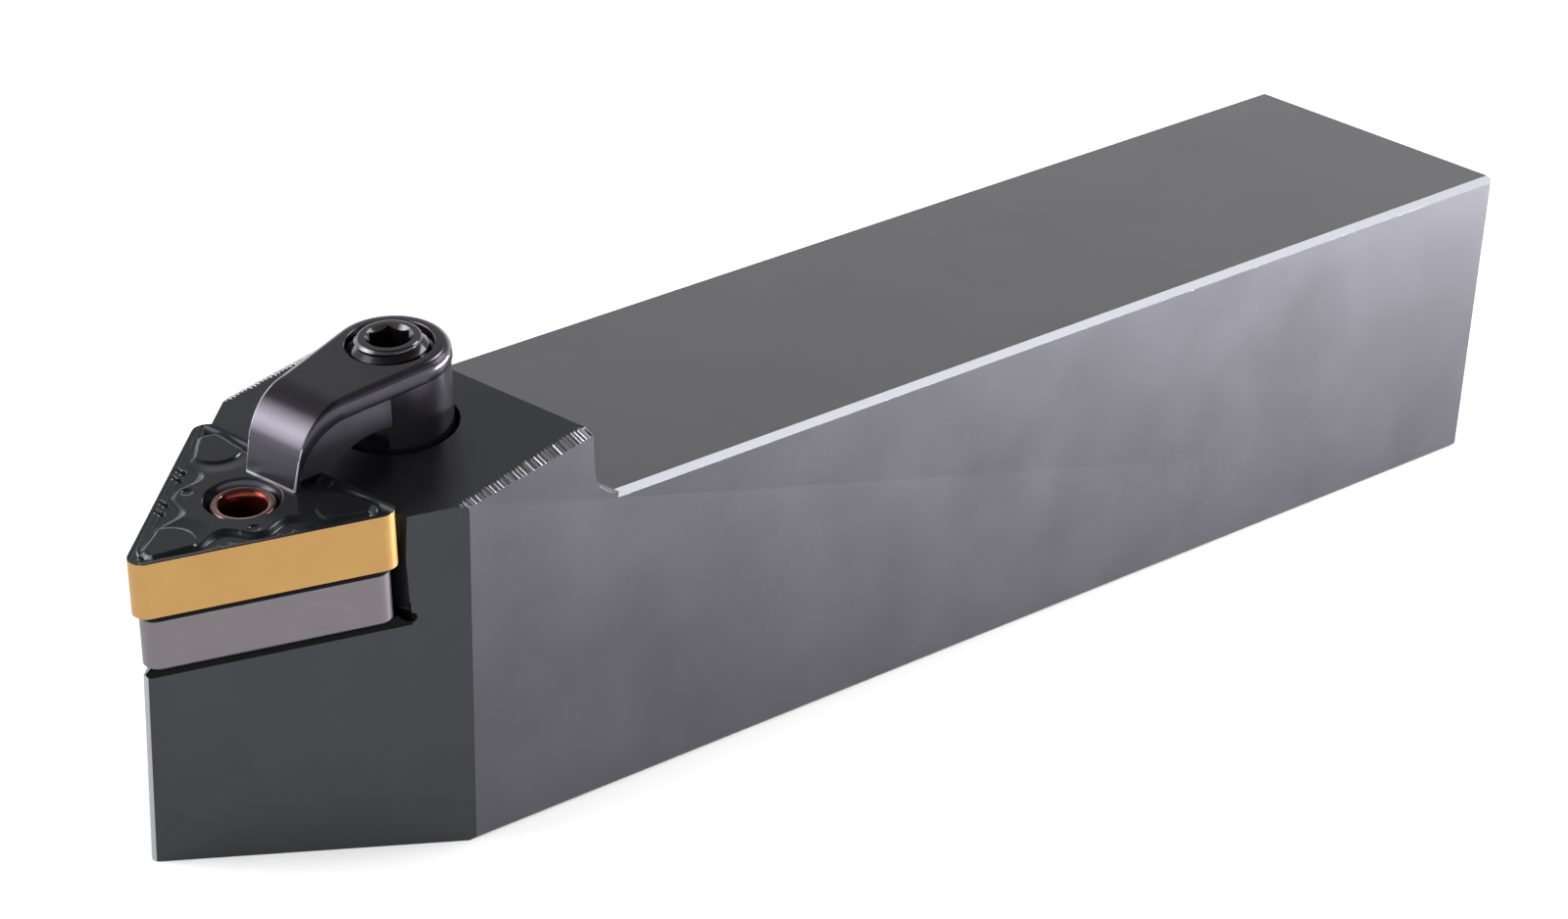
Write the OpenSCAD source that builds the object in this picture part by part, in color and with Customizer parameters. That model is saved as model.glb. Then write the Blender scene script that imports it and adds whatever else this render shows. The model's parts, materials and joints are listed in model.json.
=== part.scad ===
// Neutral turning tool holder with a 60 degree triangular insert.
// A finger clamp, drawn down by a double threaded screw, holds the insert on its shim and lock pin.
// Frame: +Z up from the base, +X to the rear of the shank, insert tip at the -X end,
// origin under the middle of the overall length.

/* [Shank] */
// Overall length, from the insert's tip to the rear face
overall_length = 152.4; // [120:0.1:200]
// Width of the shank
shank_width = 25.4; // [23:0.1:32]
// Height of the shank
shank_height = 25.4; // [23:0.1:32]
// Chamfer along the two upper long edges
top_chamfer = 0.5; // [0.2:0.1:1]
// Chamfer along the two lower long edges
base_chamfer = 0.3; // [0.1:0.1:0.8]
// Chamfer round the rear face
end_chamfer = 0.4; // [0.1:0.1:0.8]

/* [Head] */
// Height of the insert's tip over the top of the shank
tip_rise = 0.1; // [-1:0.1:2]
// Slope of the seat: shim, insert, head top and clamp all fall towards the tip by this angle
seat_tilt = 10.9; // [8:0.1:13]
// Height of the insert's top over the sloped top of the head
insert_rise = 0.96; // [0.5:0.01:1.5]
// Distance of the nose edge behind the insert's tip, at the level of the pocket floor
nose_setback = 1.7; // [1:0.1:2.5]
// Angle by which the two nose faces fall back towards the base
nose_lean = 7.9; // [3:0.1:10]
// Radius of the nose edge
nose_radius = 0.5; // [0.2:0.1:1]
// Distance from the clamp screw's axis back to the ridge where the head top ends
ridge_distance = 8.2; // [6.5:0.1:12]
// Fillet at the foot of the step behind the head
step_fillet = 3; // [1:0.1:4]
// Chamfer on the side edges of the head top, at the ridge
head_chamfer = 0.4; // [0.2:0.1:0.8]
// Angle by which that chamfer runs out towards the nose
head_chamfer_runout = 1.1; // [0:0.1:1.4]
// Slope of that chamfer across the edge
head_chamfer_slope = 25; // [20:1:45]
// Radius of the reliefs that clear the insert's two rear corners
relief_radius = 1.3; // [1:0.1:1.6]
// Angle by which those reliefs lean forward towards the pocket's floor
relief_lean = 5.7; // [0:0.1:7]
// Radius of the undercut between the pocket's floor and its rear wall
undercut_radius = 0.4; // [0.2:0.1:0.6]

/* [Insert] */
// Inscribed circle of the insert
insert_ic = 12.7; // [11:0.1:14]
// Thickness of the insert
insert_thickness = 4.76; // [3.5:0.01:6.35]
// Corner radius of the insert
insert_corner = 1.2; // [0.8:0.1:1.6]
// Diameter of the insert's hole
insert_hole = 5.16; // [4.8:0.01:5.6]
// Width of the flat land along the cutting edges
land_width = 0.3; // [0.1:0.05:0.6]
// Depth of the chip breaking groove behind the land
groove_depth = 0.3; // [0.1:0.05:0.6]
// Width of the slope from the land down to the groove's floor
groove_slope = 0.7; // [0.3:0.1:1]
// Inscribed circle of the raised island round the hole
island_ic = 8.4; // [7.4:0.1:9]

/* [Shim] */
// Inscribed circle of the shim, which sits back from the insert's edges
shim_ic = 12.05; // [10:0.05:12.4]
// Thickness of the shim
shim_thickness = 4.76; // [3.5:0.01:6.35]
// Corner radius of the shim
shim_corner = 1.2; // [0.8:0.1:1.6]

/* [Lock pin] */
// Diameter of the pin's head, which stands in the insert's hole
pin_head = 5; // [4.5:0.02:5.1]
// Depth of the pin's top under the insert's top
pin_sink = 0.4; // [0.2:0.1:1]
// Overall length of the pin
pin_length = 17; // [15:0.5:19]
// Diameter of the collar that holds the shim down
pin_collar = 7.2; // [6.8:0.1:7.6]
// Depth of the collar's seat in the shim
collar_seat = 2.2; // [1.5:0.1:3]
// Width across the flats of the pin's hexagon socket
pin_socket = 2.5; // [2:0.1:2.8]
// Depth of the pin's hexagon socket
pin_socket_depth = 4; // [2:0.5:6]

/* [Clamp] */
// Radius of the clamp's round rear end and of its leg
clamp_radius = 4.65; // [4.4:0.05:5.5]
// Height of the clamp's flat top over the head top
clamp_height = 6.85; // [6:0.05:9]
// Angle by which each side of the finger closes in towards the nose
finger_taper = 9.2; // [5:0.1:10]
// Thickness of the upper flange of the finger
flange_thickness = 1.65; // [1.2:0.05:2]
// Distance from the screw's axis to the start of the finger's downward bend
bend_start = 8.2; // [7:0.1:9]
// Radius of the finger's downward bend
bend_radius = 4.6; // [4:0.1:5.2]
// Slope at which the nose goes down to the insert
nose_slope = 75; // [65:1:80]
// Thickness of the flange's lip at the nose's foot
nose_lip = 0.45; // [0.3:0.05:0.8]
// Distance of the nose from the rim of the insert's hole
nose_gap = 0.25; // [0.1:0.05:0.4]
// Distance by which the web under the flange stands in from the flange's sides
web_inset = 1.05; // [0.6:0.05:1.2]
// Edge break on the nose's lower front edge
nose_break = 0.4; // [0.1:0.05:0.5]
// Length of the nose's foot under the web, from front to heel
foot_length = 4.4; // [3.6:0.1:4.6]
// Height of the arch between the leg and the nose, over the head top
arch_height = 2.4; // [2:0.1:3]
// Radius of the arch
arch_radius = 6.8; // [6:0.1:8]
// Distance from the screw's axis to the flat front of the leg
leg_front = 3.5; // [3.4:0.05:4.2]
// Distance by which the clamp lifts when its screw is backed out
clamp_lift = 3; // [1:0.5:3]
// Depth of the leg that is still in its hole when the clamp is lifted
leg_guide = 1.5; // [1:0.1:3]
// Clearance round the leg in its hole
leg_clearance = 0.3; // [0.2:0.05:0.5]

/* [Clamp screw] */
// Outer diameter of both threads, and of the pin's thread
thread_diameter = 6; // [5.6:0.1:6]
// Overall length of the clamp screw
screw_length = 25; // [22:0.5:27]
// Height of the screw's end over the clamp's top
screw_proud = 0.6; // [0:0.05:1.2]
// Length of the upper thread, which runs in the clamp
upper_thread = 11.5; // [9:0.5:13]
// Diameter of the plain neck between the two threads
screw_neck = 4.6; // [4:0.1:5.2]
// Length of the plain neck
neck_length = 2.5; // [1.5:0.5:4]
// Width across the flats of the screw's hexagon socket
screw_socket = 3; // [2.5:0.1:3.2]
// Depth of the screw's hexagon socket
screw_socket_depth = 3.5; // [2:0.5:5]
// Radial clearance of a thread in its hole
thread_clearance = 0.05; // [0.02:0.01:0.08]

/* [Hidden] */

$fn = 64;
STEEL = "#55565B";
CARBIDE = "#898386";
COATING = "#CFA167";
PIN_RED = "#8A3A2A";
CLAMP_STEEL = "#33343A";
SCREW_STEEL = "#2A2A2C";

overrun = 1;                 // how far a cutting shape reaches past what it cuts
contact_gap = 0.02;          // gap kept between faces that press on each other
half_angle = 30;             // half of the 60 degree corner of insert, shim and nose
bore_end_room = 1.5;         // room left under the end of a screw, a pin or the leg
thread_lead = 0.6;           // chamfer on the end of a thread
shim_hole_room = 0.3;        // radial room round the pin in the shim's hole
collar_height = 2;           // height of the lock pin's collar
relief_depth = 0.35;         // how far a corner relief reaches behind the pocket's rear wall

tip = [-overall_length / 2, 0, shank_height + tip_rise];
rear_x = overall_length / 2;
side_y = shank_width / 2;

// Places along the sloped seat, measured back from the tip, with heights from the insert's top
pin_x = insert_ic - insert_corner;
wall_x = pin_x + insert_ic / 2 + contact_gap;
stack = insert_thickness + shim_thickness;
nose_stand = insert_hole / 2 + nose_gap;
bend_end = bend_start + bend_radius * sin(nose_slope);
bend_drop = bend_radius * (1 - cos(nose_slope));
finger_reach = bend_end + (clamp_height - insert_rise - bend_drop) / tan(nose_slope);
screw_x = pin_x + nose_stand + finger_reach;
ridge_x = screw_x + ridge_distance;
relief_y = (insert_ic - 2 * insert_corner) * cos(half_angle) + insert_corner;

// The finger's inner curve, from under the bend's start down to the lip at the nose's foot
flange_base = clamp_height - flange_thickness;
inner_run = finger_reach - nose_lip - bend_start;
inner_fall = flange_base - insert_rise;
inner_turn = 2 * atan(inner_fall / inner_run);
inner_radius = inner_run / sin(inner_turn);

// The step behind the head: its foot, its fillet's run along the shank and the fillet's centre
ridge = seat_point(ridge_x, -insert_rise);
step_foot = [ridge.x + (ridge.y - shank_height) * tan(seat_tilt), shank_height];
step_run = step_fillet / tan((90 + seat_tilt) / 2);
fillet_centre = step_foot + [step_run, step_fillet];

thread_bore = thread_diameter / 2 + thread_clearance;
leg_hole = clamp_radius + leg_clearance;
leg_depth = clamp_lift + leg_guide;
leg_hole_depth = leg_depth + bore_end_room;
screw_top = clamp_height + screw_proud;
screw_bore_depth = screw_length - screw_top + bore_end_room;
pin_bore_depth = pin_sink + pin_length + bore_end_room;

function seat_point(x, z) = [
    tip.x + x * cos(seat_tilt) - z * sin(seat_tilt),
    tip.z + x * sin(seat_tilt) + z * cos(seat_tilt)
];
function arc(centre, radius, from, to, steps) = [
    for (i = [0 : steps])
        let (a = from + (to - from) * i / steps)
            [centre.x + radius * cos(a), centre.y + radius * sin(a)]
];
function rounded_triangle(ic, corner) = [
    for (k = [0 : 2])
        let (turn = 180 + 120 * k, reach = ic - 2 * corner)
            each arc([reach * cos(turn), reach * sin(turn)], corner, turn - 60, turn + 60, 10)
];

// Seat frame: origin at the insert's tip, X back along the slope, Z square to it
module seat_frame() {
    translate(tip) rotate([0, -seat_tilt, 0]) children();
}

// Clamp frame: origin where the screw's axis meets the head top, X forward along the slope
module clamp_frame() {
    seat_frame() translate([screw_x, 0, -insert_rise]) rotate([0, 0, 180]) children();
}

module hex_socket(across_flats, depth) {
    cylinder(d = across_flats / cos(30), h = depth, $fn = 6);
}

// Side view of the holder, X to the rear and Y up
module holder_profile() {
    front = seat_point(-overrun, -insert_rise);
    polygon([[front.x, 0], [rear_x, 0], [rear_x, shank_height], step_foot, ridge, front]);
    difference() {
        polygon([
            step_foot - [step_fillet, step_fillet],
            step_foot + [step_run, -step_fillet],
            step_foot + [step_run, 0],
            fillet_centre,
            step_foot + step_run * [-sin(seat_tilt), cos(seat_tilt)]
        ]);
        translate(fillet_centre) circle(step_fillet);
    }
}

// What is cut away in front of the two nose faces, seen from above with the nose edge at X = 0
module beside_the_nose() {
    depth = shank_width + 4 * nose_setback;
    edge = arc([2 * nose_radius, 0], nose_radius, 90 + half_angle, 270 - half_angle, 4);
    difference() {
        translate([-shank_width / 2, -shank_width]) square([depth + shank_width / 2, 2 * shank_width]);
        polygon(concat(edge, [
            [depth + overrun, -(depth + overrun) * tan(half_angle)],
            [depth + overrun, (depth + overrun) * tan(half_angle)]
        ]));
    }
}

// Straight cutter that leaves a chamfer along X on the edge at one side, turned to face outwards
module edge_cutter(from, length, side, z, turn) {
    size = shank_width / 4;
    translate([from, side * side_y, z]) rotate([-side * turn, 0, 0])
        translate([0, -size / 2, 0]) cube([length, size, size]);
}

module shank_chamfers() {
    for (side = [-1, 1]) {
        edge_cutter(step_foot.x + step_run, overall_length, side, shank_height - top_chamfer, 45);
        edge_cutter(-overall_length, 2 * overall_length, side, base_chamfer, 135);
        translate([rear_x - end_chamfer, side * side_y, -overrun]) rotate([0, 0, side * 45])
            translate([0, -shank_width / 4, 0]) cube([shank_width / 2, shank_width / 2, 2 * shank_height]);
    }
    for (end = [0, 1])
        translate([rear_x - end_chamfer, -shank_width, end * shank_height])
            rotate([0, end == 0 ? 45 : -45, 0])
                translate([0, 0, -shank_width / 4])
                    cube([shank_width / 2, 2 * shank_width, shank_width / 2]);
}

module head_chamfers() {
    reach = ridge_x + shank_width / 2;
    seat_frame()
        for (side = [-1, 1])
            translate([ridge_x, side * side_y, -insert_rise - head_chamfer])
                rotate([0, head_chamfer_runout, 0]) rotate([-side * head_chamfer_slope, 0, 0])
                    translate([-reach, -shank_width / 4, 0])
                        cube([reach + overrun, shank_width / 2, shank_width / 2]);
}

// Pocket for insert and shim: flat floor, rear wall, undercut between them and two corner reliefs
module pocket() {
    height = stack + 2 * shank_height;
    seat_frame() {
        translate([wall_x - 2 * insert_ic - shank_width, -shank_width, -stack])
            cube([2 * insert_ic + shank_width, 2 * shank_width, height]);
        translate([wall_x, 0, -stack]) rotate([90, 0, 0])
            cylinder(r = undercut_radius, h = 2 * shank_width, center = true);
        for (side = [-1, 1])
            translate([wall_x - relief_radius + relief_depth, side * relief_y, -insert_rise])
                rotate([0, relief_lean, 0]) translate([0, 0, insert_rise - stack])
                    cylinder(r = relief_radius, h = height);
    }
}

module holder_body() {
    color(STEEL) difference() {
        rotate([90, 0, 0]) translate([0, 0, -side_y])
            linear_extrude(shank_width) holder_profile();
        translate([tip.x + nose_setback, 0, tip.z - stack]) rotate([0, -nose_lean, 0])
            translate([0, 0, -2 * shank_height]) linear_extrude(4 * shank_height) beside_the_nose();
        shank_chamfers();
        head_chamfers();
        pocket();
        seat_frame() translate([pin_x, 0, -pin_bore_depth])
            cylinder(r = thread_bore, h = pin_bore_depth);
        clamp_frame() {
            translate([0, 0, -leg_hole_depth]) cylinder(r = leg_hole, h = leg_hole_depth + overrun);
            translate([0, 0, -screw_bore_depth]) cylinder(r = thread_bore, h = screw_bore_depth);
        }
    }
}

// Chip breaking groove on one face, its floor at Z = 0 and its rim level with the land
module chip_groove() {
    rim = insert_ic - 2 * land_width;
    floor_ic = rim - 2 * groove_slope;
    reach = insert_ic / 2 - groove_slope;
    difference() {
        linear_extrude(groove_depth + contact_gap, scale = rim / floor_ic)
            polygon(rounded_triangle(floor_ic, insert_corner * floor_ic / insert_ic));
        translate([0, 0, -overrun]) linear_extrude(groove_depth + 2 * overrun) {
            polygon(rounded_triangle(island_ic, insert_corner));
            for (turn = [60, 180, 300])
                rotate(turn) translate([reach, 0]) circle(insert_corner);
        }
    }
}

module insert() {
    color(COATING) seat_frame() translate([pin_x, 0, -insert_thickness]) difference() {
        linear_extrude(insert_thickness) polygon(rounded_triangle(insert_ic, insert_corner));
        translate([0, 0, -overrun]) cylinder(d = insert_hole, h = insert_thickness + 2 * overrun);
        translate([0, 0, insert_thickness - groove_depth]) chip_groove();
        translate([0, 0, groove_depth]) mirror([0, 0, 1]) chip_groove();
    }
}

module shim() {
    color(CARBIDE) seat_frame() translate([pin_x, 0, -stack]) difference() {
        linear_extrude(shim_thickness) polygon(rounded_triangle(shim_ic, shim_corner));
        translate([0, 0, -overrun])
            cylinder(r = thread_diameter / 2 + shim_hole_room, h = shim_thickness + overrun);
        translate([0, 0, shim_thickness - collar_seat])
            cylinder(r = pin_collar / 2 + shim_hole_room, h = collar_seat + overrun);
    }
}

// Turned lock pin: head with a rounded rim and belled socket, collar and thread
module lock_pin() {
    head = pin_head / 2;
    rim = head / 5;
    thread = thread_diameter / 2;
    seat = -(insert_thickness + collar_seat - pin_sink);
    color(PIN_RED) seat_frame() translate([pin_x, 0, -pin_sink]) difference() {
        rotate_extrude() polygon(concat(
            arc([head - rim, -rim], rim, 90, 0, 5),
            [
                [head, seat + collar_height],
                [pin_collar / 2, seat + collar_height],
                [pin_collar / 2, seat],
                [thread - thread_lead, seat],
                [thread - thread_lead, seat - thread_lead],
                [thread, seat - 2 * thread_lead],
                [thread, -pin_length + thread_lead],
                [thread - thread_lead, -pin_length],
                [0, -pin_length],
                [0, 0]
            ]
        ));
        translate([0, 0, -pin_socket_depth]) hex_socket(pin_socket, pin_socket_depth + overrun);
        translate([0, 0, -pin_socket / 2])
            cylinder(r1 = pin_socket / 2, r2 = head - 1.4 * rim, h = pin_socket / 2 + contact_gap);
    }
}

// The finger seen from above: round rear end and sides that close in towards the nose
module finger_plan(inset) {
    radius = clamp_radius - inset;
    front = finger_reach + overrun;
    start = radius * [sin(finger_taper), cos(finger_taper)];
    half_width = radius / cos(finger_taper) - front * tan(finger_taper);
    circle(radius);
    polygon([[start.x, -start.y], [front, -half_width], [front, half_width], start]);
}

// The finger's outer curve from the flat top down to the nose's foot, as a list of points
function outer_curve() = concat(
    arc([bend_start, clamp_height - bend_radius], bend_radius, 90, 90 - nose_slope, 12),
    [
        [finger_reach - nose_break / tan(nose_slope), insert_rise + nose_break],
        [finger_reach - nose_break, insert_rise + contact_gap]
    ]
);

// The flange seen from the side
module flange_profile() {
    inner = arc([bend_start, flange_base - inner_radius], inner_radius, 90 - inner_turn, 90, 12);
    polygon(concat(
        [[-clamp_radius - overrun, flange_base], [-clamp_radius - overrun, clamp_height]],
        outer_curve(),
        [for (p = inner) [p.x, max(p.y, insert_rise + contact_gap)]]
    ));
}

// The web seen from the side, between the leg, the flange, the nose and the arch
module web_profile() {
    foot = insert_rise + contact_gap;
    rise = foot - (arch_height - arch_radius);
    arch_x = finger_reach - foot_length - sqrt(arch_radius * arch_radius - rise * rise);
    difference() {
        polygon(concat(
            [[leg_front - overrun, foot], [leg_front - overrun, clamp_height - flange_thickness / 2]],
            [for (p = outer_curve()) [p.x - nose_lip / 2, max(p.y - flange_thickness / 2, foot)]]
        ));
        translate([arch_x, arch_height - arch_radius]) circle(arch_radius, $fn = 120);
    }
}

module upright(width) {
    rotate([90, 0, 0]) translate([0, 0, -width / 2]) linear_extrude(width) children();
}

module clamp() {
    width = 2 * clamp_radius + overrun;
    color(CLAMP_STEEL) clamp_frame() difference() {
        union() {
            intersection() {
                linear_extrude(clamp_height) finger_plan(0);
                upright(width) flange_profile();
            }
            intersection() {
                linear_extrude(clamp_height) finger_plan(web_inset);
                upright(width) web_profile();
            }
            intersection() {
                translate([0, 0, -leg_depth])
                    cylinder(r = clamp_radius, h = leg_depth + clamp_height - flange_thickness / 2);
                translate([leg_front - 2 * clamp_radius, -clamp_radius, -leg_depth])
                    cube([2 * clamp_radius, 2 * clamp_radius, leg_depth + clamp_height]);
            }
        }
        translate([0, 0, -leg_depth - overrun])
            cylinder(r = thread_bore, h = leg_depth + clamp_height + 2 * overrun);
        translate([0, 0, clamp_height - thread_lead])
            cylinder(r1 = thread_bore, r2 = thread_bore + thread_lead, h = thread_lead + contact_gap);
    }
}

// Screw with a thread at each end and a plain neck between them
module clamp_screw() {
    thread = thread_diameter / 2;
    neck = screw_neck / 2;
    slope = thread - neck;
    color(SCREW_STEEL) clamp_frame() translate([0, 0, screw_top]) difference() {
        rotate_extrude() polygon([
            [0, 0],
            [thread - thread_lead, 0],
            [thread, -thread_lead],
            [thread, -upper_thread + slope],
            [neck, -upper_thread],
            [neck, -upper_thread - neck_length],
            [thread, -upper_thread - neck_length - slope],
            [thread, -screw_length + thread_lead],
            [thread - thread_lead, -screw_length],
            [0, -screw_length]
        ]);
        translate([0, 0, -screw_socket_depth]) hex_socket(screw_socket, screw_socket_depth + overrun);
    }
}

holder_body();
shim();
insert();
lock_pin();
clamp();
clamp_screw();
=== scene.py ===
"""The looks of a neutral turning tool holder with a clamped triangular insert."""

import json
from math import atan2, cos, pi, radians, sin, sqrt, tan

import bpy
from bpy.props import FloatProperty, FloatVectorProperty, IntProperty, PointerProperty
from mathutils import Matrix, Vector

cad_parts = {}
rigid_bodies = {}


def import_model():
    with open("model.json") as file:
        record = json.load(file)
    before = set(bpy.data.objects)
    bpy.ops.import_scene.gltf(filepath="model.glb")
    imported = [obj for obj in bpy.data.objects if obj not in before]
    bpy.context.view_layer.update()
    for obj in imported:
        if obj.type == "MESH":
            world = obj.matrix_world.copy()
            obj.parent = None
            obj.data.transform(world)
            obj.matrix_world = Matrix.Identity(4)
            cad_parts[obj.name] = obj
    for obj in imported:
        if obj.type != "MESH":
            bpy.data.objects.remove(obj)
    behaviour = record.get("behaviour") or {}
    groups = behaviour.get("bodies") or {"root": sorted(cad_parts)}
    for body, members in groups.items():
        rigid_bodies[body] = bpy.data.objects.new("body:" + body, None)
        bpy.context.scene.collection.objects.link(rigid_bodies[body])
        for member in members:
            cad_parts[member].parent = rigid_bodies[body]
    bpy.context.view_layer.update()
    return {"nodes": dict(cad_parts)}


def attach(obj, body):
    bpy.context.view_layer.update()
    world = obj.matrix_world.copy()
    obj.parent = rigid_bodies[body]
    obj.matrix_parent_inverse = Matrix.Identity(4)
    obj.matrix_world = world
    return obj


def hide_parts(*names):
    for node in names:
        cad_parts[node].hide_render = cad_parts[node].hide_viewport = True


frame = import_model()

bl_info = {
    "name": "Turning Tool Holder",
    "version": (1, 0, 0),
    "blender": (4, 5, 0),
    "location": "3D View > Sidebar > Tool Holder",
    "description": "Models the visible pieces of a clamped turning tool holder on its solids",
    "category": "Add Mesh",
}

# Metres in a millimetre: the sizes below are in millimetres and agree with the solids
MM = 0.001
# A point this near to a plane, in metres, lies on it
ON_PLANE = 1e-7

# The insert, and the shim under it
INSERT_IC = 12.7
INSERT_CORNER = 1.2
INSERT_THICKNESS = 4.76
INSERT_HOLE = 5.16
SHIM_THICKNESS = 4.76
SEAT_DEPTH = INSERT_THICKNESS + SHIM_THICKNESS

# The sloped seat: origin at the insert's tip, X back along the slope, Z square to it
TIP_X = -76.2
TIP_Z = 25.5
SEAT_TILT = radians(10.9)
RIDGE_DISTANCE = 8.2
SEAT = Matrix.Translation((TIP_X * MM, 0, TIP_Z * MM)) @ Matrix.Rotation(-SEAT_TILT, 4, "Y")
TO_SEAT = SEAT.inverted()
PIN_X = 11.5
INSERT_RISE = 0.96
INSERT = SEAT @ Matrix.Translation((PIN_X * MM, 0, 0))
# The clamp's own frame: the foot of the screw's axis on the head top, X forward over the finger
SCREW_X = 27.6397
CLAMP = SEAT @ Matrix.Translation((SCREW_X * MM, 0, -INSERT_RISE * MM)) @ Matrix.Rotation(pi, 4, "Z")
RIDGE_X = SCREW_X + RIDGE_DISTANCE

# The clamp's finger
CLAMP_RADIUS = 4.65
CLAMP_HEIGHT = 6.85
FLANGE_THICKNESS = 1.65
FINGER_TAPER = radians(9.2)
BEND_START = 8.2
BEND_RADIUS = 4.6
NOSE_SLOPE = radians(75)
NOSE_LIP = 0.45
NOSE_HEIGHT = CLAMP_HEIGHT - BEND_RADIUS * (1 - cos(NOSE_SLOPE)) - INSERT_RISE
FINGER_REACH = BEND_START + BEND_RADIUS * sin(NOSE_SLOPE) + NOSE_HEIGHT / tan(NOSE_SLOPE)
WEB_INSET = 1.05
FOOT_LENGTH = 4.4
FOOT_GAP = 0.02
ARCH_HEIGHT = 2.4
ARCH_RADIUS = 6.8
LEG_FRONT = 3.5
LEG_DEPTH = 4.5

# The M6 threads, the screw and the lock pin
THREAD = 3.0
BORE = 3.05
SCREW_TOP = CLAMP_HEIGHT + 0.6
SCREW_LENGTH = 25
UPPER_THREAD = 11.5
NECK = 2.3
NECK_LENGTH = 2.5
PIN_SINK = 0.4
PIN_LENGTH = 17
PIN_PITCH = 1
PIN_HEAD = 2.5
PIN_COLLAR = 3.6
COLLAR_HEIGHT = 0.9
COLLAR_SEAT = 2.2

# The chip breaker: where its ribs cross the groove along a side, and how far from the hole's axis
# the island's waving wall, the tongues and dimples of the corners and the eyes of the sides lie
RIBS = (-3.4, -2.3, 1.25, 2.5)
ISLAND_WALL = 4.62
ISLAND_WAVE = 0.68
WAVE_LENGTH = 5.2
TONGUE_REACH = 7.7
TONGUE_RADIUS = 2.03
DIMPLE_REACH = 10.35
EYE_REACH = 4.35
EYE_ALONG = -0.3

# The holder's finishes, with its painted highlights and shade, in the order of its material slots, and where
# some of them end
PHOSPHATED, MILLED, WORN_AND_HIGHLIT, PAINTED_SHADE, CHAMFER_HIGHLIGHT = range(5)
CREST_LENGTH = 5.2
CHAMFER_RUN = 16
# the end of the head's chamfer at the ridge is painted bright as a glint, over this length in millimetres
HIGHLIT_END = 1.1

# The camera's place, the point that it looks at, and its roll
CAMERA_PLACE = (-424.9, -339.56, 242.244)
CAMERA_AIM = (3.086, 4.037, 11.747)
CAMERA_ROLL = radians(5.726)


def srgb(text):
    """A hex colour as linear red, green, blue and alpha."""
    channels = [int(text[i:i + 2], 16) / 255 for i in (1, 3, 5)]
    return [c / 12.92 if c <= 0.04045 else ((c + 0.055) / 1.055) ** 2.4 for c in channels] + [1]


def colour(name, default, description):
    """A colour that the panel shows."""
    return FloatVectorProperty(name=name, description=description, size=4, min=0, max=1,
                               subtype="COLOR", default=srgb(default))


def length(name, millimetres, description):
    """A length that the panel shows."""
    return FloatProperty(name=name, description=description, default=millimetres * MM, min=0,
                         unit="LENGTH", precision=5)


def watts(name, default, description):
    """A lamp's power that the panel shows."""
    return FloatProperty(name=name, description=description, default=default, min=0, unit="POWER")


class FinishSettings(bpy.types.PropertyGroup):
    """Colours of the pieces"""

    holder: colour("Shank", "#3F3E44", "Ground and phosphated steel of the shank")
    head: colour("Head", "#3A3B3F", "Milled and blackened steel of the head")
    # painted highlight: a brighter colour for the key light's reflection on the shank's chamfers
    chamfer: colour("Shank chamfers", "#77777C", "Brighter ground steel of the chamfers along the shank")
    # painted shade: a darker colour for the shadow along the seat's rim under the shim
    rim: colour("Seat rim", "#26272A", "Oiled steel in the shade under the shim")
    # wear and painted highlight: a brighter colour along the edges, the head's ticks and the nose's crest
    edge: colour("Worn edges", "#9C9CA2", "Brighter steel along the worn edges")
    shim: colour("Shim", "#6D686B", "Ground carbide of the shim")
    # painted shade: a darker colour for the shadow in the gap under the insert
    shim_rim: colour("Shim's rim", "#302E30", "Carbide of the shim's upper rim, left as sintered")
    flank: colour("Insert flank", "#AA8652", "Nitride coat on the insert's flanks")
    rake: colour("Insert top", "#35363B", "Black alumina coat on the insert's top and underside")
    pin: colour("Lock pin", "#60291F", "Brown temper colour of the lock pin")
    # painted sheen: a brighter colour for the glints round the lock pin's rim
    pin_rim: colour("Lock pin's rim", "#8A6F6C", "Brown steel worn brighter round the lock pin's rim")
    clamp: colour("Clamp", "#413F46", "Black oxide of the clamp")
    screw: colour("Clamp screw", "#515155", "Oil blackened steel of the clamp screw")


class SizeSettings(bpy.types.PropertyGroup):
    """Sizes that only the looks have"""

    edge: length("Edge break", 0.2, "Width of the rounded edges of the holder")
    notch_pitch: length("Notch pitch", 0.42, "Mean distance of the milling ticks on the head's chamfer")
    notch_depth: length("Notch depth", 0.1, "Depth of the milling ticks")
    clamp_edge: length("Clamp rounding", 0.8, "Width of the rounding along the clamp's flange")
    groove: length("Groove depth", 0.34, "Depth of the chip breaker's groove")
    pitch: length("Thread pitch", 1.0, "Pitch of the clamp screw's thread")
    rings: IntProperty(name="Insert rings", description="Rows of faces from the insert's hole to its edges",
                       default=56, min=12, max=80)


class StageSettings(bpy.types.PropertyGroup):
    """Floor, light and camera"""

    floor: colour("Floor", "#F4F4F4", "Pale floor")
    lens: FloatProperty(name="Focal length", description="Focal length of the camera on a 36 mm sensor",
                        default=167.58, min=1, subtype="DISTANCE_CAMERA")
    glow: FloatProperty(name="Floor glow", description="Light that the backlit floor gives off",
                        default=0.35, min=0)
    key: watts("Key light", 2.2, "Power of the key light")
    side: watts("Side light", 0.58, "Power of the low light at the side")
    top: watts("Top light", 0.8, "Power of the small light overhead")
    left: watts("Left light", 0.12, "Power of the low light behind the insert")
    back: FloatProperty(name="Back glow", description="Strength of the soft glow behind the insert",
                        default=10, min=0)


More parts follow.
